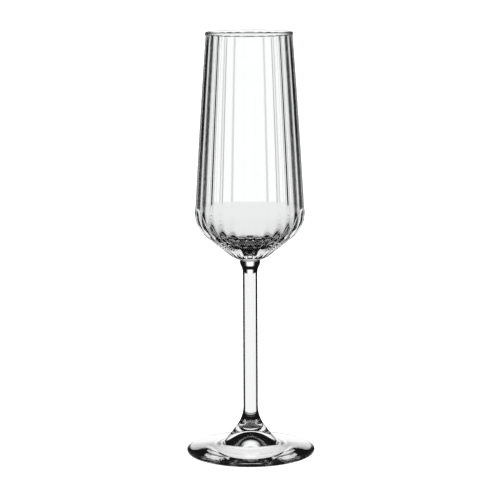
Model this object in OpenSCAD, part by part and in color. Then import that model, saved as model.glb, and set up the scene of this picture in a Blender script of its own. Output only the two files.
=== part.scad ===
// Champagne flute: a tall ribbed bowl on a drawn stem and a spun foot, all in clear glass.
// The three gathers are shaped apart and fused face to face, so each one is a solid of its own.
// Millimetres. The axis of the glass is Z, and Z = 0 is the surface that the foot stands on.

/* [Overall] */
// Height of the whole glass
glass_h = 225; // [200:1:270]

/* [Bowl] */
// Height of the bowl, from its weld to the lip
bowl_h = 120.6; // [95:0.1:145]
// Outer diameter of the bead at the lip
lip_d = 46.3; // [38:0.1:56]
// Widest outer diameter over the ribs, low on the bowl
belly_d = 58.2; // [48:0.1:70]
// Height of the widest place above the weld
belly_h = 25.2; // [21:0.1:32]
// Radius of the shoulder that turns the side in to the cone
shoulder_r = 16.6; // [12:0.1:20]
// How far the side bows out from a straight taper
side_bow = 0.2; // [0:0.05:0.6]
// Outer diameter of the corner under the cone
base_d = 19.6; // [17:0.1:23]
// Height of that corner's centre above the weld
base_rise = 2.5; // [1.8:0.1:3]
// Radius of that corner
base_round = 0.9; // [0.3:0.1:1.2]

/* [Wall] */
// Wall at the lip
lip_wall = 1.8; // [1.7:0.1:2.4]
// Wall at the widest place inside, measured on the ribs
belly_wall = 2; // [1.4:0.1:2.6]
// Height of the widest place inside, above the weld
inside_h = 27.5; // [26:0.1:33]
// Radius of the inside's shoulder
inside_r = 14.8; // [12:0.1:16]
// Glass under the floor of the bowl
floor_t = 6.6; // [5:0.1:8]
// Outer radius of the floor, with its corner
floor_r = 6; // [5:0.1:7]
// Radius where the floor turns up into the cone
floor_round = 3; // [2:0.1:4]
// Radius of the rounding inside the lip
lip_ease = 0.7; // [0.3:0.05:0.7]

/* [Ribs] */
// Number of full ribs in each half of the mould
half_ribs = 14; // [9:1:17]
// Width of the narrow rib on each parting line, in degrees
seam_w = 6.6; // [5:0.1:9]
// Height of a rib at the belly
rib_h = 0.35; // [0.1:0.05:0.6]
// How narrow the crest is: 1 for a plain half wave, more for a narrower crest
crest_power = 1.6; // [1:0.1:2.5]
// Depth below the lip at which the grooves run out
band_h = 3; // [2.8:0.1:5]
// Height of the arch in which each rib ends
arch_h = 1.1; // [0.5:0.1:1.1]
// Depth of the shallow neck between the ribs and the bead
neck = 0.1; // [0:0.02:0.3]
// Radius of the bead at the lip
bead_r = 1; // [0.8:0.05:1]

/* [Stem] */
// Diameter of the drawn stem
stem_d = 7.9; // [6:0.1:9.6]
// Diameter of the head that is fused to the bowl
head_d = 11.2; // [10:0.1:13.6]
// Height of the head's curve into the stem
head_h = 7; // [5:0.1:12]
// Height of the flare at the stem's lower end
flare_h = 11; // [8:0.1:16]
// Rise of the domed weld faces
weld_rise = 0.4; // [0.1:0.05:0.6]

/* [Foot] */
// Diameter of the foot
foot_d = 68.7; // [56:0.1:84]
// Thickness of the foot's rounded edge
edge_t = 2.8; // [2:0.1:3.4]
// Gap between the edge and the surface that the foot stands on
edge_lift = 0.3; // [0.1:0.05:0.5]
// Slope of the top of the disc
disc_slope = 6.5; // [5:0.5:9.5]
// Height of the weld on the hub
hub_h = 14.5; // [12:0.1:18]
// Diameter of the weld on the hub
hub_d = 15.2; // [12:0.1:18.4]
// Radius where the hub runs out into the disc
spread_r = 2.5; // [2:0.1:6]
// Distance from the foot's edge to the middle of the ring that it stands on
ring_inset = 2.35; // [2.3:0.05:4]
// Width of that ring
ring_w = 0.6; // [0.4:0.1:0.8]
// Height of the hollow under the foot, at its middle
hollow_h = 9.5; // [6:0.5:10]
// How quickly the hollow rises to its middle: a larger power makes it narrower
hollow_power = 8; // [4:0.5:9]

/* [Hidden] */
$fn = 120;
clear_glass = [0.9, 0.94, 0.95, 0.35];

// Radii that the driving diameters give
lip_r = lip_d / 2;
belly_r = belly_d / 2;
base_r = base_d / 2;
stem_r = stem_d / 2;
head_r = head_d / 2;
foot_r = foot_d / 2;
hub_r = hub_d / 2;
edge_r = edge_t / 2;

// Height of the weld between the stem and the bowl
bowl_z = glass_h - bowl_h;

// Facets across one rib, and pieces in each stretch of an outline
rib_steps = 4;
cone_cuts = 4;
shoulder_cuts = 7;
side_cuts = 6;
arch_cuts = 4;
corner_cuts = 2;
bead_cuts = 6;
ease_cuts = 3;
floor_cuts = 5;
inner_cuts = 8;
weld_cuts = 3;
arc_cuts = 12;
hollow_cuts = 24;
under_cuts = 4;

// Points on an arc about c, from angle a0 to angle a1
function arc(c, r, a0, a1, n) =
    [for (i = [0 : n]) let (a = a0 + (a1 - a0) * i / n) c + r * [cos(a), sin(a)]];

// Direction of the line that touches two rounds [x, y, radius] on their right-hand side
function lean(p, q) =
    let (d = [q[0] - p[0], q[1] - p[1]])
    atan2(d[1], d[0]) - asin((q[2] - p[2]) / norm(d));

// Point where a right-hand tangent of direction a touches a round
function touch(p, a) = [p[0], p[1]] + p[2] * [sin(a), -cos(a)];

// Directions from a0 to a1 in n steps, and the points where tangents of those directions touch
function sweep(a0, a1, n) = [for (i = [0 : n]) a0 + (a1 - a0) * i / n];
function turn(p, a0, a1, n) = [for (a = sweep(a0, a1, n)) touch(p, a)];

// Outline of a shallow dome from its edge to the axis
function dome(r, z, rise, n) =
    let (big_r = (r * r + rise * rise) / (2 * rise), half = asin(r / big_r))
    arc([0, z + rise - big_r], big_r, 90 - half, 90, n);

// Points of a list in reverse, and a list without its first point
function reversed(list) = [for (i = [len(list) - 1 : -1 : 0]) list[i]];
function rest(list) = [for (i = [1 : len(list) - 1]) list[i]];

// Stretch from p to q that bows out by bow, without its two ends
function stretch(p, q, bow, n) =
    let (d = q - p, out = [d[1], -d[0]] / norm(d))
    [for (i = [1 : n - 1]) let (t = i / n) p + d * t + out * (4 * bow * t * (1 - t))];

// Rounds that the outside of the bowl is drawn over along the grooves, measured from the weld
groove_r = lip_r - neck - rib_h;
weld_edge = [head_r, 0, 0];
base_corner = [base_r - base_round, base_rise, base_round];
shoulder = [belly_r - shoulder_r, belly_h, shoulder_r - rib_h];
band_foot = [groove_r, bowl_h - band_h, 0];
base_a = lean(weld_edge, base_corner);
cone_a = lean(base_corner, shoulder);
side_a = lean(shoulder, band_foot);
cone_low = touch(base_corner, cone_a);
cone_high = touch(shoulder, cone_a);
side_low = touch(shoulder, side_a);
side_high = [band_foot[0], band_foot[1]];

// Bead at the lip, and how far round it the band reaches it
bead = [lip_r - bead_r, bowl_h - bead_r];
tuck = acos((groove_r - bead[0]) / bead_r);

// Rounds that the inside is drawn over
floor_corner = [floor_r - floor_round, floor_t + floor_round, floor_round];
inner_shoulder = [belly_r - belly_wall - inside_r, inside_h, inside_r];
lip_eased = [lip_r - lip_wall, bowl_h - lip_ease, 0];
inner_cone_a = lean(floor_corner, inner_shoulder);
inner_side_a = lean(inner_shoulder, lip_eased);

// One ring of the bowl's skin: radius, height, direction of the outline, rib height, run-out
function plain(p) = [p[0], p[1], 90, 0, 0];
function ribbed(p, a, fade) = [p[0], p[1], a, rib_h * min(1, p[0] / belly_r), fade];

// The skin from the axis under the bowl, up the outside, over the lip and down to the floor
skin = concat(
    [for (p = rest(reversed(dome(head_r, 0, weld_rise, weld_cuts)))) plain(p)],
    [for (p = turn(base_corner, base_a, cone_a, corner_cuts)) plain(p)],
    [for (p = stretch(cone_low, cone_high, 0, cone_cuts)) ribbed(p, cone_a, 0)],
    [for (a = sweep(cone_a, side_a, shoulder_cuts)) ribbed(touch(shoulder, a), a, 0)],
    [for (p = stretch(side_low, side_high, side_bow, side_cuts)) ribbed(p, side_a, 0)],
    [for (i = [0 : arch_cuts])
        ribbed(side_high + [0, arch_h * i / arch_cuts], side_a, rib_h * i / arch_cuts)],
    [for (p = arc(bead, bead_r, -tuck, 90, bead_cuts)) plain(p)],
    [for (p = arc([lip_eased[0] + lip_ease, lip_eased[1]], lip_ease, 90, 180, ease_cuts)) plain(p)],
    [for (p = reversed(turn(inner_shoulder, inner_cone_a, inner_side_a, inner_cuts))) plain(p)],
    [for (p = reversed(turn(floor_corner, 0, inner_cone_a, floor_cuts))) plain(p)]
);

// Columns of the skin, as an angle and a height from 0 in a groove to 1 on a crest
pitch = (180 - seam_w) / half_ribs;
function rib(start, width, height) =
    [for (i = [0 : rib_steps - 1]) let (t = i / rib_steps)
        [start + width * t, height * pow(sin(180 * t), crest_power)]];
columns = [
    for (seam = [-90, 90])
    for (c = concat(
        rib(seam - seam_w / 2, seam_w, pow(seam_w / pitch, 2)),
        [for (n = [0 : half_ribs - 1]) for (c = rib(seam + seam_w / 2 + pitch * n, pitch, 1)) c]
    )) c
];
steps = len(columns);

function skin_point(s, c) =
    let (rise = max(0, s[3] * c[1] - s[4]), r = s[0] + rise * sin(s[2]))
    [r * cos(c[0]), r * sin(c[0]), s[1] - rise * cos(s[2])];

// Blown bowl, with ribs outside and a smooth inside: rings of points joined by triangles
module bowl() {
    last = (len(skin) - 1) * steps;
    under = len(skin) * steps;
    floor_mid = under + 1;
    points = concat(
        [for (s = skin) for (c = columns) skin_point(s, c)],
        [[0, 0, weld_rise], [0, 0, floor_t]]
    );
    bands = [
        for (a = [0 : steps : last - steps])
        for (i = [0 : steps - 1])
        let (j = (i + 1) % steps)
        for (f = [[a + i, a + steps + i, a + steps + j], [a + i, a + steps + j, a + j]]) f
    ];
    ends = [
        for (i = [0 : steps - 1])
        let (j = (i + 1) % steps)
        for (f = [[under, i, j], [last + i, floor_mid, last + j]]) f
    ];
    color(clear_glass)
    translate([0, 0, bowl_z])
    polyhedron(points, concat(bands, ends));
}

// Drawn stem: a head under the bowl, a plain shaft and a flare on to the hub
module stem() {
    head_drop = head_r - stem_r;
    head_curve = (head_h * head_h + head_drop * head_drop) / (4 * head_drop);
    head_turn = asin(head_h / (2 * head_curve));
    outline = concat(
        reversed(rest(dome(hub_r, hub_h, -weld_rise, weld_cuts))),
        arc([stem_r + flare_r, hub_h + flare_h], flare_r, 180 + flare_turn, 180, arc_cuts),
        arc([stem_r + head_curve, bowl_z - head_h], head_curve, 180, 180 - head_turn, 6),
        arc([head_r - head_curve, bowl_z], head_curve, -head_turn, 0, 6),
        rest(dome(head_r, bowl_z, weld_rise, weld_cuts))
    );
    color(clear_glass)
    rotate_extrude() polygon(outline);
}

// The flare leaves the stem upright and meets the hub at flare_turn from the vertical
flare_out = hub_r - stem_r;
flare_r = (flare_h * flare_h + flare_out * flare_out) / (2 * flare_out);
flare_turn = asin(flare_h / flare_r);

// Centre of the rounded edge, and where the top line of the disc touches it
edge_c = [foot_r - edge_r, edge_lift + edge_r];
edge_top = edge_c + edge_r * [sin(disc_slope), cos(disc_slope)];

// Corner where the hub's cone would meet the disc, and how much of each the round takes
disc_rise = hub_h - edge_top[1] - edge_top[0] * tan(disc_slope);
corner_r = (hub_r + tan(flare_turn) * disc_rise) / (1 - tan(flare_turn) * tan(disc_slope));
corner = [corner_r, edge_top[1] + (edge_top[0] - corner_r) * tan(disc_slope)];
spread_len = spread_r * tan((90 - flare_turn - disc_slope) / 2);
spread_end = corner + spread_len * [cos(disc_slope), -sin(disc_slope)];
spread_c = spread_end + spread_r * [sin(disc_slope), cos(disc_slope)];

// Inner and outer edge of the ring that the foot stands on
ring_in = foot_r - ring_inset - ring_w / 2;
ring_out = ring_in + ring_w;

// Spun foot: a hub under the stem, a disc with a thick edge and a hollow beneath
module foot() {
    under = [for (i = [under_cuts - 1 : -1 : 0]) let (t = i / under_cuts)
        [ring_out + (edge_c[0] - ring_out) * t, edge_lift * pow(t, 1.5)]];
    hollow = [for (i = [hollow_cuts : -1 : 0]) let (t = i / hollow_cuts)
        [ring_in * t, hollow_h * pow(1 - t * t, hollow_power)]];
    outline = concat(
        reversed(dome(hub_r, hub_h, -weld_rise, weld_cuts)),
        arc(spread_c, spread_r, 180 + flare_turn, 270 - disc_slope, arc_cuts),
        arc(edge_c, edge_r, 90 - disc_slope, -90, 8),
        under,
        hollow
    );
    color(clear_glass)
    rotate_extrude() polygon(outline);
}

bowl();
stem();
foot();
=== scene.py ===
"""Champagne flute in clear glass: the finished pieces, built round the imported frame.

Lengths are in metres and angles in degrees. The heights of the two welds and the lip, and the
foot's radius, come from the boxes of the CAD nodes. The classes below hold the other sizes.
"""

import logging
import math
from dataclasses import dataclass, field
from enum import Enum
from typing import Iterable

import bpy
import numpy as np
from mathutils import Matrix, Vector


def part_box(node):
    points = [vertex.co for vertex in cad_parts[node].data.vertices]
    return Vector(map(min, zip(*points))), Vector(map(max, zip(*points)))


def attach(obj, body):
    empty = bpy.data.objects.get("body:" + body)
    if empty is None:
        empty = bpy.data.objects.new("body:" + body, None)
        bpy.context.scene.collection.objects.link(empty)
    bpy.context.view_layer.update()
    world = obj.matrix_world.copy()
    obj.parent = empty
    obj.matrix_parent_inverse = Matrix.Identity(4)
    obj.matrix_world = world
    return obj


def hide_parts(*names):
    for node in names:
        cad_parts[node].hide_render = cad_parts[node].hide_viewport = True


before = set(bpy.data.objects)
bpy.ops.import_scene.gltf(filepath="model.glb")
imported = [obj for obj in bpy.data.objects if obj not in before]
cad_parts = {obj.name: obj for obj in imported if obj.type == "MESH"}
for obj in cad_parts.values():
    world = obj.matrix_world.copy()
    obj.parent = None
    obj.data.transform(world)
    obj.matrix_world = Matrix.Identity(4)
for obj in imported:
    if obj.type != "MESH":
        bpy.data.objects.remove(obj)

log = logging.getLogger("flute")

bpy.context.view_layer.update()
MM = 0.001
WHITE = (1.0, 1.0, 1.0, 1.0)
PALE = (0.95, 0.95, 0.95, 1.0)
WELD_CUTS = 6

Point = tuple[float, float]


class Skin(Enum):
    """Which finish a band of faces takes: the number is its material slot."""

    POLISHED = 0
    FUSED = 1


def cos(degrees: float) -> float:
    """Cosine of an angle in degrees."""
    return math.cos(math.radians(degrees))


def sin(degrees: float) -> float:
    """Sine of an angle in degrees."""
    return math.sin(math.radians(degrees))


def tan(degrees: float) -> float:
    """Tangent of an angle in degrees."""
    return math.tan(math.radians(degrees))


def spread(start: float, end: float, cuts: int) -> list[float]:
    """Values from start to end in equal steps, both ends among them."""
    return [start + (end - start) * i / cuts for i in range(cuts + 1)]


@dataclass(frozen=True)
class Round:
    """A circle in the outline's plane, which the outline is drawn over.

    A radius of zero makes it a plain corner.
    """

    out: float
    up: float
    radius: float = 0.0

    def touch(self, lean: float) -> Point:
        """Point where a right-hand tangent of direction lean touches the circle."""
        return (self.out + self.radius * sin(lean), self.up - self.radius * cos(lean))

    def lean_to(self, other: "Round") -> float:
        """Direction of the line that touches both circles on their right-hand side.

        Args:
            other: the circle that the line runs on to.

        Returns:
            The direction in degrees, counted from straight outward.
        """
        run, rise = other.out - self.out, other.up - self.up
        tilt = math.asin((other.radius - self.radius) / math.hypot(run, rise))
        return math.degrees(math.atan2(rise, run) - tilt)

    def bend(self, lean_in: float, lean_out: float, cuts: int) -> list[tuple[Point, float]]:
        """Points and directions along the circle between two tangents.

        Args:
            lean_in: direction of the outline where it reaches the circle.
            lean_out: direction where it leaves.
            cuts: number of straight pieces.

        Returns:
            The points, each with the outline's direction there.
        """
        return [(self.touch(lean), lean) for lean in spread(lean_in, lean_out, cuts)]


@dataclass(frozen=True)
class Ring:
    """One ring of a turned skin, and the band of faces that follows it."""

    out: float
    up: float
    lean: float = 90.0
    relief: float = 0.0
    arch: float = -1.0
    skin: Skin = Skin.POLISHED
    crisp: bool = False


@dataclass(frozen=True)
class Ribs:
    """Ribs round the bowl: equal ones in each half of the mould and a narrow one on each seam."""

    per_half: int = 14
    seam_width: float = 6.6
    steps: int = 20
    seam_steps: int = 12
    sharpness: float = 1.6

    def columns(self) -> tuple[np.ndarray, np.ndarray]:
        """Places the skin's columns round the axis.

        Returns:
            Their angles in radians, and how high each stands, 0 in a groove and 1 on a crest.
        """
        pitch = (180 - self.seam_width) / self.per_half
        narrow = (self.seam_width / pitch) ** 2
        angles, crests = [], []
        for seam in (-90.0, 90.0):
            edge = seam + self.seam_width / 2
            cells = [(edge - self.seam_width, self.seam_width, self.seam_steps, narrow)]
            cells += [(edge + pitch * i, pitch, self.steps, 1.0) for i in range(self.per_half)]
            for start, width, steps, height in cells:
                share = np.arange(steps) / steps
                angles.append(np.radians(start + width * share))
                crests.append(height * np.sin(np.pi * share) ** self.sharpness)
        return np.concatenate(angles), np.concatenate(crests)


def dome(radius: float, height: float, rise: float, cuts: int) -> list[Point]:
    """Outline of a shallow dome, from the axis to its edge.

    Args:
        radius: radius of the edge.
        height: height of the edge.
        rise: height of the middle over the edge, negative for a hollow.
        cuts: number of straight pieces.

    Returns:
        The points after the one on the axis.
    """
    ball = (radius ** 2 + rise ** 2) / (2 * rise)
    half = math.degrees(math.asin(radius / ball))
    centre = height + rise - ball
    return [(ball * sin(a), centre + ball * cos(a)) for a in spread(0, half, cuts)][1:]


def stretch(start: Point, end: Point, bow: float, cuts: int) -> list[Point]:
    """Points between two ends, not counting them, on a line that bows to its right.

    Args:
        start: first end.
        end: last end.
        bow: how far the middle stands out from the straight line.
        cuts: number of straight pieces.

    Returns:
        The points between the ends.
    """
    run, rise = end[0] - start[0], end[1] - start[1]
    length = math.hypot(run, rise)
    points = []
    for share in spread(0.0, 1.0, cuts)[1:-1]:
        push = 4 * bow * share * (1 - share) / length
        points.append((start[0] + run * share + rise * push,
                       start[1] + rise * share - run * push))
    return points


@dataclass
class Lathe:
    """Turns an outline that starts and ends on the axis into one closed skin.

    Ribs stand out from the rings that have relief. A ring's arch tells how far up the arched ends
    of the ribs it lies, from 0 at their feet to 1 at their tops, and arch_blur how steeply they
    end.
    """

    name: str
    angles: np.ndarray
    crests: np.ndarray
    arch_blur: float = 0.2
    rings: list[Ring] = field(default_factory=list)

    @classmethod
    def plain(cls, name: str, steps: int) -> "Lathe":
        """Makes a lathe for a piece without ribs."""
        return cls(name, np.arange(steps) * 2 * math.pi / steps, np.zeros(steps))

    @property
    def steps(self) -> int:
        """Number of columns round the axis."""
        return len(self.angles)

    def add(self, rings: Iterable[Ring]) -> None:
        """Adds rings to the end of the outline."""
        self.rings.extend(rings)

    def points(self) -> np.ndarray:
        """Places every point of every ring, ring by ring."""
        placed = []
        for ring in self.rings:
            left = np.clip((self.crests - ring.arch) / self.arch_blur, 0.0, 1.0)
            rise = ring.relief * self.crests * left
            out = ring.out + rise * sin(ring.lean)
            up = ring.up - rise * cos(ring.lean)
            x, y = out * np.cos(self.angles), out * np.sin(self.angles)
            placed.append(np.stack([x, y, up], axis=1))
        return np.concatenate(placed)

    def faces(self) -> tuple[list[tuple[int, ...]], list[int]]:
        """Joins the rings by quads and closes both ends on the axis.

        Returns:
            The faces, and the material slot of each.
        """
        faces, slots = [], []
        first_pole = len(self.rings) * self.steps
        last = first_pole - self.steps
        here = np.arange(self.steps)
        there = (here + 1) % self.steps
        faces += [(first_pole, int(j), int(i)) for i, j in zip(here, there)]
        slots += [self.rings[0].skin.value] * self.steps
        for k, ring in enumerate(self.rings[:-1]):
            a = k * self.steps
            b = a + self.steps
            faces += [(a + i, a + j, b + j, b + i) for i, j in zip(here.tolist(), there.tolist())]
            slots += [ring.skin.value] * self.steps
        faces += [(last + int(i), last + int(j), first_pole + 1) for i, j in zip(here, there)]
        slots += [self.rings[-1].skin.value] * self.steps
        return faces, slots

    def turn(self, first_pole: float, last_pole: float,
             materials: list[bpy.types.Material]) -> bpy.types.Object:
        """Makes the mesh object.

        Args:
            first_pole: height of the point on the axis before the first ring.
            last_pole: height of the point on the axis after the last ring.
            materials: the polished finish, then the fused one.

        Returns:
            The new object, linked to the scene.
        """
        ends = np.array([[0, 0, first_pole], [0, 0, last_pole]])
        points = np.concatenate([self.points(), ends])
        faces, slots = self.faces()
        mesh = bpy.data.meshes.new(self.name)
        mesh.from_pydata(points.tolist(), [], faces)
        for material in materials:
            mesh.materials.append(material)
        mesh.polygons.foreach_set("material_index", slots)
        mesh.polygons.foreach_set("use_smooth", [True] * len(faces))
        self.crease(mesh)
        mesh.update()
        piece = bpy.data.objects.new(self.name, mesh)
        bpy.context.scene.collection.objects.link(piece)
        return piece

    def crease(self, mesh: bpy.types.Mesh) -> None:
        """Marks the edges along each crisp ring, so that light breaks there and doesn't bend."""
        ends = np.empty(len(mesh.edges) * 2, dtype=np.int32)
        mesh.edges.foreach_get("vertices", ends)
        row = ends.reshape(-1, 2) // self.steps
        crisp = np.array([ring.crisp for ring in self.rings] + [False])
        along = row[:, 0] == row[:, 1]
        sharp = along & crisp[np.minimum(row[:, 0], len(self.rings))]
        mesh.attributes.new("sharp_edge", "BOOLEAN", "EDGE").data.foreach_set("value", sharp)


@dataclass(frozen=True)
class ClearGlass:
    """Fire-polished clear glass with the faint ripple and haze of blown work."""

    name: str
    tint: tuple[float, float, float] = (0.985, 0.995, 0.992)
    index: float = 1.52
    ripple_scale: float = 60.0
    ripple_detail: float = 1.0
    ripple_depth: float = 0.008 * MM
    smudge_scale: float = 30.0
    smudge_detail: float = 4.0
    haze: float = 0.02
    haze_from: float = 0.45
    haze_to: float = 0.75

    def build(self) -> bpy.types.Material:
        """Builds the material's nodes.

        Returns:
            The finished material.
        """
        material = bpy.data.materials.new(self.name)
        material.use_nodes = True
        nodes, links = material.node_tree.nodes, material.node_tree.links
        glass = nodes["Principled BSDF"]
        glass.inputs["Transmission Weight"].default_value = 1.0
        glass.inputs["IOR"].default_value = self.index
        place = nodes.new("ShaderNodeTexCoord")

        ripple = nodes.new("ShaderNodeTexNoise")
        ripple.inputs["Scale"].default_value = self.ripple_scale
        ripple.inputs["Detail"].default_value = self.ripple_detail
        links.new(place.outputs["Object"], ripple.inputs["Vector"])
        bump = nodes.new("ShaderNodeBump")
        bump.inputs["Strength"].default_value = 1.0
        bump.inputs["Distance"].default_value = self.ripple_depth
        links.new(ripple.outputs["Fac"], bump.inputs["Height"])
        links.new(bump.outputs["Normal"], glass.inputs["Normal"])

        smudge = nodes.new("ShaderNodeTexNoise")
        smudge.inputs["Scale"].default_value = self.smudge_scale
        smudge.inputs["Detail"].default_value = self.smudge_detail
        links.new(place.outputs["Object"], smudge.inputs["Vector"])
        haze = nodes.new("ShaderNodeMapRange")
        haze.inputs["From Min"].default_value = self.haze_from
        haze.inputs["From Max"].default_value = self.haze_to
        haze.inputs["To Min"].default_value = 0.0
        haze.inputs["To Max"].default_value = self.haze
        links.new(smudge.outputs["Fac"], haze.inputs["Value"])
        links.new(haze.outputs["Result"], glass.inputs["Roughness"])

        colour = nodes.new("ShaderNodeMix")
        colour.data_type = "RGBA"
        colour.inputs["A"].default_value = (*self.tint, 1.0)
        colour.inputs["B"].default_value = WHITE
        links.new(ripple.outputs["Fac"], colour.inputs["Factor"])
        links.new(colour.outputs["Result"], glass.inputs["Base Color"])
        return material


@dataclass(frozen=True)
class FusedSeam:
    """Face inside a weld, where two gathers are one glass and light passes straight on."""

    name: str

    def build(self) -> bpy.types.Material:
        """Builds the material's nodes."""
        material = bpy.data.materials.new(self.name)
        material.use_nodes = True
        nodes, links = material.node_tree.nodes, material.node_tree.links
        nodes.remove(nodes["Principled BSDF"])
        clear = nodes.new("ShaderNodeBsdfTransparent")
        links.new(clear.outputs["BSDF"], nodes["Material Output"].inputs["Surface"])
        return material


@dataclass
class Bowl:
    """Blown bowl: a beaded lip, ribs outside, a smooth inside and a thick floor."""

    belly_radius: float = 29.1 * MM
    shoulder_radius: float = 16.6 * MM
    belly_up: float = 25.2 * MM
    side_bow: float = 0.2 * MM
    corner_out: float = 9.8 * MM
    corner_up: float = 2.5 * MM
    corner_radius: float = 0.9 * MM
    head_radius: float = 5.6 * MM
    weld_rise: float = 0.4 * MM
    lip_radius: float = 23.15 * MM
    neck_radius: float = 23.05 * MM
    lip_wall: float = 1.8 * MM
    belly_wall: float = 2.0 * MM
    inner_up: float = 27.5 * MM
    inner_shoulder: float = 14.8 * MM
    floor_up: float = 6.6 * MM
    floor_out: float = 6.0 * MM
    floor_radius: float = 3.0 * MM
    lip_ease: float = 0.7 * MM
    relief: float = 0.35 * MM
    arch_low: float = 2.6 * MM
    arch_high: float = 1.2 * MM
    bead: float = 1.0 * MM
    ribs: Ribs = Ribs()
    corner_cuts: int = 5
    cone_cuts: int = 14
    shoulder_cuts: int = 24
    side_cuts: int = 16
    arch_cuts: int = 14
    tuck_cuts: int = 8
    bead_cuts: int = 12
    ease_cuts: int = 8
    floor_cuts: int = 10
    inner_cuts: int = 10

    def __post_init__(self) -> None:
        """Takes the heights of the weld and the lip from the frame."""
        low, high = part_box("bowl")
        self.weld_up = float(low[2])
        self.height = float(high[2] - low[2])

    def ribbed(self, point: Point, lean: float, arch: float = -1.0) -> Ring:
        """Makes a ring that the ribs stand out from, lower as the bowl closes in."""
        relief = self.relief * min(1.0, point[0] / self.belly_radius)
        return Ring(point[0], self.weld_up + point[1], lean, relief, arch)

    def plain(self, point: Point, **marks: object) -> Ring:
        """Makes a ring without ribs."""
        return Ring(point[0], self.weld_up + point[1], **marks)

    def outside(self) -> list[Ring]:
        """Outline of the outside along the grooves, from the weld's edge to the bead."""
        corner = Round(self.corner_out - self.corner_radius, self.corner_up, self.corner_radius)
        reach = self.belly_radius - self.shoulder_radius
        shoulder = Round(reach, self.belly_up, self.shoulder_radius - self.relief)
        neck = Round(self.neck_radius - self.relief, self.height - self.arch_low)
        base_lean = Round(self.head_radius, 0.0).lean_to(corner)
        cone_lean = corner.lean_to(shoulder)
        side_lean = shoulder.lean_to(neck)
        base = corner.bend(base_lean, cone_lean, self.corner_cuts)
        cone = stretch(corner.touch(cone_lean), shoulder.touch(cone_lean), 0.0, self.cone_cuts)
        belly = shoulder.bend(cone_lean, side_lean, self.shoulder_cuts)
        side = stretch(shoulder.touch(side_lean), neck.touch(0), self.side_bow, self.side_cuts)
        rings = [self.plain(point) for point, _ in base]
        rings += [self.ribbed(point, cone_lean) for point in cone]
        rings += [self.ribbed(*place) for place in belly]
        rings += [self.ribbed(point, side_lean) for point in side]
        return rings

    def lip(self) -> list[Ring]:
        """Outline of the ribs' upper ends, the bead outside the lip and the easing inside it."""
        bead = Round(self.lip_radius - self.bead, self.height - self.bead, self.bead)
        ease = Round(self.lip_radius - self.lip_wall + self.lip_ease,
                     self.height - self.lip_ease, self.lip_ease)
        hem = self.neck_radius - self.relief
        tuck = math.degrees(math.acos((hem - bead.out) / self.bead))
        low, high = self.height - self.arch_low, self.height - self.arch_high
        bead_foot = bead.up - self.bead * sin(tuck)
        profile = [(hem, up) for up in spread(low, bead_foot, self.arch_cuts)]
        profile += [point for point, _ in bead.bend(90 - tuck, 90, self.tuck_cuts)][1:]
        rings = [self.ribbed(point, 90.0, (point[1] - low) / (high - low)) for point in profile]
        turned = bead.bend(90, 180, self.bead_cuts)[1:] + ease.bend(180, 270, self.ease_cuts)[1:]
        return rings + [self.plain(point) for point, _ in turned]

    def inside(self) -> list[Ring]:
        """Outline of the inside, from the lip down to the floor."""
        floor = Round(self.floor_out - self.floor_radius,
                      self.floor_up + self.floor_radius, self.floor_radius)
        reach = self.belly_radius - self.belly_wall - self.inner_shoulder
        shoulder = Round(reach, self.inner_up, self.inner_shoulder)
        lip = Round(self.lip_radius - self.lip_wall, self.height - self.lip_ease)
        cone_lean = floor.lean_to(shoulder)
        side_lean = shoulder.lean_to(lip)
        upward = floor.bend(0, cone_lean, self.floor_cuts)
        upward += shoulder.bend(cone_lean, side_lean, self.shoulder_cuts)
        side = stretch(shoulder.touch(side_lean), lip.touch(0), self.side_bow, self.inner_cuts)
        return [self.plain(p) for p in reversed([point for point, _ in upward] + side)]

    def build(self, glass: bpy.types.Material, seam: bpy.types.Material) -> bpy.types.Object:
        """Makes the bowl, and puts it in the place of its CAD node.

        Args:
            glass: the polished finish.
            seam: the finish inside the weld.

        Returns:
            The finished piece.
        """
        lathe = Lathe("bowl_glass", *self.ribs.columns())
        weld = dome(self.head_radius, 0.0, self.weld_rise, WELD_CUTS)
        lathe.add(self.plain(point, skin=Skin.FUSED) for point in weld[:-1])
        lathe.add([self.plain(weld[-1], crisp=True)])
        lathe.add(self.outside())
        lathe.add(self.lip())
        lathe.add(self.inside())
        poles = (self.weld_up + self.weld_rise, self.weld_up + self.floor_up)
        return settle(lathe.turn(*poles, [glass, seam]), "bowl")


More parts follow.
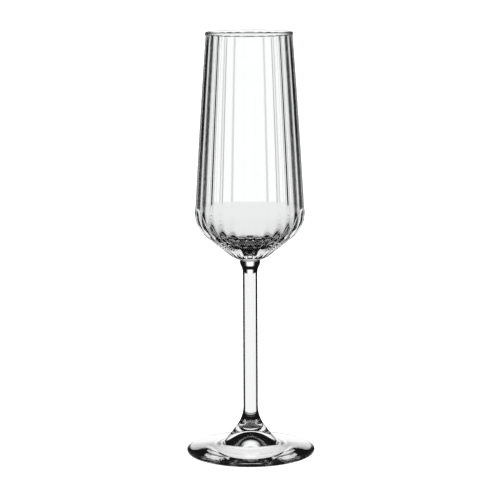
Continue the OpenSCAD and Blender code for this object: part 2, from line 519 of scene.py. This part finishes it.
@dataclass
class Stem:
    """Drawn stem: a head under the bowl, a plain shaft and a flare on to the hub."""

    radius: float = 3.95 * MM
    head_radius: float = 5.6 * MM
    head_height: float = 7.0 * MM
    flare_height: float = 11.0 * MM
    hub_radius: float = 7.6 * MM
    weld_rise: float = 0.4 * MM
    flare_cuts: int = 32
    head_cuts: int = 16
    steps: int = 256

    def __post_init__(self) -> None:
        """Takes the heights of the two welds from the frame, and works out the two curves."""
        self.foot_up = float(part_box("foot")[1][2])
        self.bowl_up = float(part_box("bowl")[0][2])
        drop = self.head_radius - self.radius
        self.head_curve = (self.head_height ** 2 + drop ** 2) / (4 * drop)
        self.head_turn = math.degrees(math.asin(self.head_height / (2 * self.head_curve)))
        flare = self.hub_radius - self.radius
        self.flare_curve = (self.flare_height ** 2 + flare ** 2) / (2 * flare)
        self.flare_turn = math.degrees(math.asin(self.flare_height / self.flare_curve))

    def outline(self) -> list[Ring]:
        """Outline of the stem from its lower weld's edge to its upper one."""
        flare_top = self.foot_up + self.flare_height
        cove_foot = self.bowl_up - self.head_height
        flare = [
            (self.radius + self.flare_curve * (1 - cos(a)), flare_top - self.flare_curve * sin(a))
            for a in spread(self.flare_turn, 0, self.flare_cuts)
        ]
        cove = [
            (self.radius + self.head_curve * (1 - cos(a)), cove_foot + self.head_curve * sin(a))
            for a in spread(0, self.head_turn, self.head_cuts)
        ]
        crown = [
            (self.head_radius - self.head_curve * (1 - cos(a)),
             self.bowl_up - self.head_curve * sin(a))
            for a in spread(self.head_turn, 0, self.head_cuts)
        ]
        return [Ring(*point) for point in flare[1:] + cove + crown[1:-1]]

    def build(self, glass: bpy.types.Material, seam: bpy.types.Material) -> bpy.types.Object:
        """Makes the stem, and puts it in the place of its CAD node.

        Args:
            glass: the polished finish.
            seam: the finish inside the welds.

        Returns:
            The finished piece.
        """
        lathe = Lathe.plain("stem_glass", self.steps)
        lower = dome(self.hub_radius, self.foot_up, -self.weld_rise, WELD_CUTS)
        upper = dome(self.head_radius, self.bowl_up, self.weld_rise, WELD_CUTS)
        lathe.add(Ring(*point, skin=Skin.FUSED) for point in lower[:-1])
        lathe.add([Ring(*lower[-1], crisp=True)])
        lathe.add(self.outline())
        lathe.add([Ring(*upper[-1], skin=Skin.FUSED, crisp=True)])
        lathe.add(Ring(*point, skin=Skin.FUSED) for point in reversed(upper[:-1]))
        poles = (self.foot_up - self.weld_rise, self.bowl_up + self.weld_rise)
        return settle(lathe.turn(*poles, [glass, seam]), "stem")


@dataclass
class Foot:
    """Spun foot: a hub under the stem, a disc with a thick rounded edge, and a deep hollow."""

    stem: Stem
    edge: float = 2.8 * MM
    edge_lift: float = 0.3 * MM
    slope: float = 6.5
    spread_radius: float = 2.5 * MM
    ring: float = 32.0 * MM
    ring_width: float = 0.6 * MM
    hollow: float = 9.5 * MM
    fullness: float = 8.0
    lift_power: float = 1.5
    spread_cuts: int = 32
    rim_cuts: int = 24
    disc_cuts: int = 8
    under_cuts: int = 6
    hollow_cuts: int = 48
    steps: int = 320

    def __post_init__(self) -> None:
        """Takes the foot's radius from the frame."""
        self.radius = float(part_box("foot")[1][0])

    def outline(self) -> list[Ring]:
        """Outline from the weld's edge, down the hub, out over the disc and in under it."""
        half = self.edge / 2
        turn = self.stem.flare_turn
        rim_out, rim_up = self.radius - half, self.edge_lift + half
        top = (rim_out + half * sin(self.slope), rim_up + half * cos(self.slope))
        drop = self.stem.foot_up - top[1] - top[0] * tan(self.slope)
        out = (self.stem.hub_radius + tan(turn) * drop) / (1 - tan(turn) * tan(self.slope))
        up = top[1] + (top[0] - out) * tan(self.slope)
        reach = self.spread_radius * tan((90 - turn - self.slope) / 2)
        centre = (out + reach * cos(self.slope) + self.spread_radius * sin(self.slope),
                  up - reach * sin(self.slope) + self.spread_radius * cos(self.slope))
        hub = [(centre[0] + self.spread_radius * cos(a), centre[1] + self.spread_radius * sin(a))
               for a in spread(180 + turn, 270 - self.slope, self.spread_cuts)]
        rim = [(rim_out + half * cos(a), rim_up + half * sin(a))
               for a in spread(90 - self.slope, -90, self.rim_cuts)]
        disc = stretch(hub[-1], rim[0], 0.0, self.disc_cuts)
        inner, outer = self.ring - self.ring_width / 2, self.ring + self.ring_width / 2
        under = [(outer + (rim_out - outer) * t, self.edge_lift * t ** self.lift_power)
                 for t in spread(1, 0, self.under_cuts)[1:]]
        hollow = [(inner * x, self.hollow * (1 - x * x) ** self.fullness)
                  for x in spread(1, 0, self.hollow_cuts)[:-1]]
        return [Ring(*point) for point in hub + disc + rim + under + hollow]

    def build(self, glass: bpy.types.Material, seam: bpy.types.Material) -> bpy.types.Object:
        """Makes the foot, and puts it in the place of its CAD node.

        Args:
            glass: the polished finish.
            seam: the finish inside the weld.

        Returns:
            The finished piece.
        """
        lathe = Lathe.plain("foot_glass", self.steps)
        weld = dome(self.stem.hub_radius, self.stem.foot_up, -self.stem.weld_rise, WELD_CUTS)
        lathe.add(reversed(self.outline()))
        lathe.add([Ring(*weld[-1], skin=Skin.FUSED, crisp=True)])
        lathe.add(Ring(*point, skin=Skin.FUSED) for point in reversed(weld[:-1]))
        poles = (self.hollow, self.stem.foot_up - self.stem.weld_rise)
        return settle(lathe.turn(*poles, [glass, seam]), "foot")


def settle(piece: bpy.types.Object, node: str) -> bpy.types.Object:
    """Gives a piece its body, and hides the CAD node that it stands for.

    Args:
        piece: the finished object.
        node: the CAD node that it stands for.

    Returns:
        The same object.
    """
    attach(piece, "root")
    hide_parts(node)
    return piece


@dataclass
class View:
    """The camera, a little higher than the lip and looking down at the glass."""

    distance: float = 1.028
    height: float = 0.2716
    pitch: float = 8.95
    roll: float = -0.24
    lens: float = 141.5
    sensor: float = 36.0
    nearest: float = 0.01
    farthest: float = 60.0

    def build(self) -> bpy.types.Object:
        """Makes the camera and gives it to the scene."""
        data = bpy.data.cameras.new("camera")
        data.lens = self.lens
        data.sensor_width = self.sensor
        data.clip_start, data.clip_end = self.nearest, self.farthest
        camera = bpy.data.objects.new("camera", data)
        turn = Matrix.Rotation(math.radians(90 - self.pitch), 4, "X")
        tilt = Matrix.Rotation(math.radians(self.roll), 4, "Z")
        camera.matrix_world = Matrix.Translation((0.0, -self.distance, self.height)) @ turn @ tilt
        bpy.context.scene.collection.objects.link(camera)
        bpy.context.scene.camera = camera
        return camera


@dataclass(frozen=True)
class Panel:
    """White panel behind the glass, by the angles that it fills, square to the camera.

    Angles are in degrees, from the line that the camera looks along.
    """

    half_width: float
    side_blur: float
    low: float
    low_blur: float
    high: float
    high_blur: float
    level: float


class NodeBench:
    """Small helper that adds and joins the nodes of one material."""

    def __init__(self, name: str) -> None:
        """Starts a material without a shader.

        Args:
            name: the material's name.
        """
        self.material = bpy.data.materials.new(name)
        self.material.use_nodes = True
        self.nodes = self.material.node_tree.nodes
        self.links = self.material.node_tree.links
        self.nodes.remove(self.nodes["Principled BSDF"])

    def maths(self, operation: str, first: bpy.types.NodeSocket,
              second: bpy.types.NodeSocket | float = 0.0) -> bpy.types.NodeSocket:
        """Adds a maths node.

        Args:
            operation: the node's operation.
            first: its first value.
            second: its second value, a socket or a number.

        Returns:
            The result's socket.
        """
        node = self.nodes.new("ShaderNodeMath")
        node.operation = operation
        self.links.new(first, node.inputs[0])
        if isinstance(second, float):
            node.inputs[1].default_value = second
        else:
            self.links.new(second, node.inputs[1])
        return node.outputs["Value"]

    def step(self, value: bpy.types.NodeSocket, edge: float, blur: float,
             rising: bool) -> bpy.types.NodeSocket:
        """Adds a soft step in an angle.

        Args:
            value: the angle, in radians.
            edge: where the step is, in degrees.
            blur: half the step's width, in degrees.
            rising: True for 1 above the edge, False for 1 below it.

        Returns:
            The step's socket, from 0 to 1.
        """
        node = self.nodes.new("ShaderNodeMapRange")
        node.interpolation_type = "SMOOTHSTEP"
        soft = blur if rising else -blur
        node.inputs["From Min"].default_value = math.radians(edge - soft)
        node.inputs["From Max"].default_value = math.radians(edge + soft)
        self.links.new(value, node.inputs["Value"])
        return node.outputs["Result"]


@dataclass
class Studio:
    """Bright-field lighting: a lit backdrop over a lit table, and dark flags all round."""

    backdrop: Panel = Panel(half_width=14.0, side_blur=7.0, low=0.0, low_blur=1.0,
                            high=20.0, high_blur=3.0, level=1.18)
    table: Panel = Panel(half_width=37.0, side_blur=3.0, low=-36.0, low_blur=5.0,
                         high=0.0, high_blur=1.0, level=1.0)
    dark: float = 0.008
    shell_radius: float = 3.0
    shell_segments: int = 64
    shell_rings: int = 32
    glass_distance: float = 1.05
    floor_size: float = 40.0
    bounces: int = 40

    def sweep_material(self) -> bpy.types.Material:
        """White where the panels stand behind the glass, dark elsewhere."""
        bench = NodeBench("studio_sweep")
        bench.material.cycles.emission_sampling = "NONE"
        place = bench.nodes.new("ShaderNodeTexCoord")
        unit = bench.nodes.new("ShaderNodeVectorMath")
        unit.operation = "NORMALIZE"
        bench.links.new(place.outputs["Object"], unit.inputs[0])
        split = bench.nodes.new("ShaderNodeSeparateXYZ")
        bench.links.new(unit.outputs["Vector"], split.inputs["Vector"])
        ahead = bench.maths("MULTIPLY", split.outputs["Z"], -1.0)
        side = bench.maths("ABSOLUTE", bench.maths("ARCTAN2", split.outputs["X"], ahead))
        rise = bench.maths("ARCSINE", split.outputs["Y"])
        light = None
        for panel in (self.backdrop, self.table):
            wide = bench.step(side, panel.half_width, panel.side_blur, False)
            under = bench.step(rise, panel.high, panel.high_blur, False)
            over = bench.step(rise, panel.low, panel.low_blur, True)
            lit = bench.maths("MULTIPLY", bench.maths("MULTIPLY", wide, under), over)
            lit = bench.maths("MULTIPLY", lit, panel.level)
            if light is None:
                light = bench.maths("ADD", lit, self.dark)
            else:
                light = bench.maths("ADD", light, lit)
        glow = bench.nodes.new("ShaderNodeEmission")
        bench.links.new(light, glow.inputs["Strength"])
        bench.links.new(glow.outputs["Emission"], bench.nodes["Material Output"].inputs["Surface"])
        return bench.material

    def hang_sweep(self, camera: bpy.types.Object) -> bpy.types.Object:
        """Hangs the sweep and the flags round the glass, square to the camera.

        Args:
            camera: the camera that they face.

        Returns:
            The shell that carries them.
        """
        bpy.ops.mesh.primitive_uv_sphere_add(
            segments=self.shell_segments, ring_count=self.shell_rings, radius=self.shell_radius)
        shell = bpy.context.object
        shell.name = "studio_sweep"
        shell.data.materials.append(self.sweep_material())
        shell.parent = camera
        shell.location = (0.0, 0.0, -self.glass_distance)
        shell.visible_camera = False
        shell.visible_shadow = False
        shell.visible_diffuse = False
        return shell

    def lay_floor(self) -> bpy.types.Object:
        """Lays the plain pale floor that the glass stands on."""
        bpy.ops.mesh.primitive_plane_add(size=self.floor_size)
        floor = bpy.context.object
        floor.name = "floor"
        material = bpy.data.materials.new("pale_floor")
        material.use_nodes = True
        material.cycles.emission_sampling = "NONE"
        paint = material.node_tree.nodes["Principled BSDF"]
        paint.inputs["Base Color"].default_value = PALE
        paint.inputs["Roughness"].default_value = 1.0
        paint.inputs["Emission Color"].default_value = WHITE
        paint.inputs["Emission Strength"].default_value = 1.0
        floor.data.materials.append(material)
        floor.visible_transmission = False
        floor.visible_glossy = False
        return floor

    def build(self, camera: bpy.types.Object) -> None:
        """Sets the floor, the sweep and the white surroundings, and how light is traced.

        Args:
            camera: the camera that the sweep faces.
        """
        self.lay_floor()
        self.hang_sweep(camera)
        world = bpy.data.worlds.new("studio")
        world.use_nodes = True
        world.node_tree.nodes["Background"].inputs["Color"].default_value = WHITE
        scene = bpy.context.scene
        scene.world = world
        scene.view_settings.view_transform = "Standard"
        scene.cycles.max_bounces = self.bounces
        scene.cycles.transmission_bounces = self.bounces
        scene.cycles.glossy_bounces = self.bounces
        scene.cycles.transparent_max_bounces = self.bounces


def main() -> None:
    """Builds the camera, the pieces and the studio in order."""
    logging.basicConfig(level=logging.INFO, format="%(name)s: %(message)s")
    camera = View().build()
    seam = FusedSeam("fused_seam").build()
    stem = Stem()
    slots = ("bowl_glass", "stem_glass", "foot_glass")
    finishes = [ClearGlass(slot).build() for slot in slots]
    for maker, finish in zip((Bowl(), stem, Foot(stem)), finishes):
        piece = maker.build(finish, seam)
        log.info("%s has %d faces", piece.name, len(piece.data.polygons))
    Studio().build(camera)


if __name__ == "__main__":
    main()
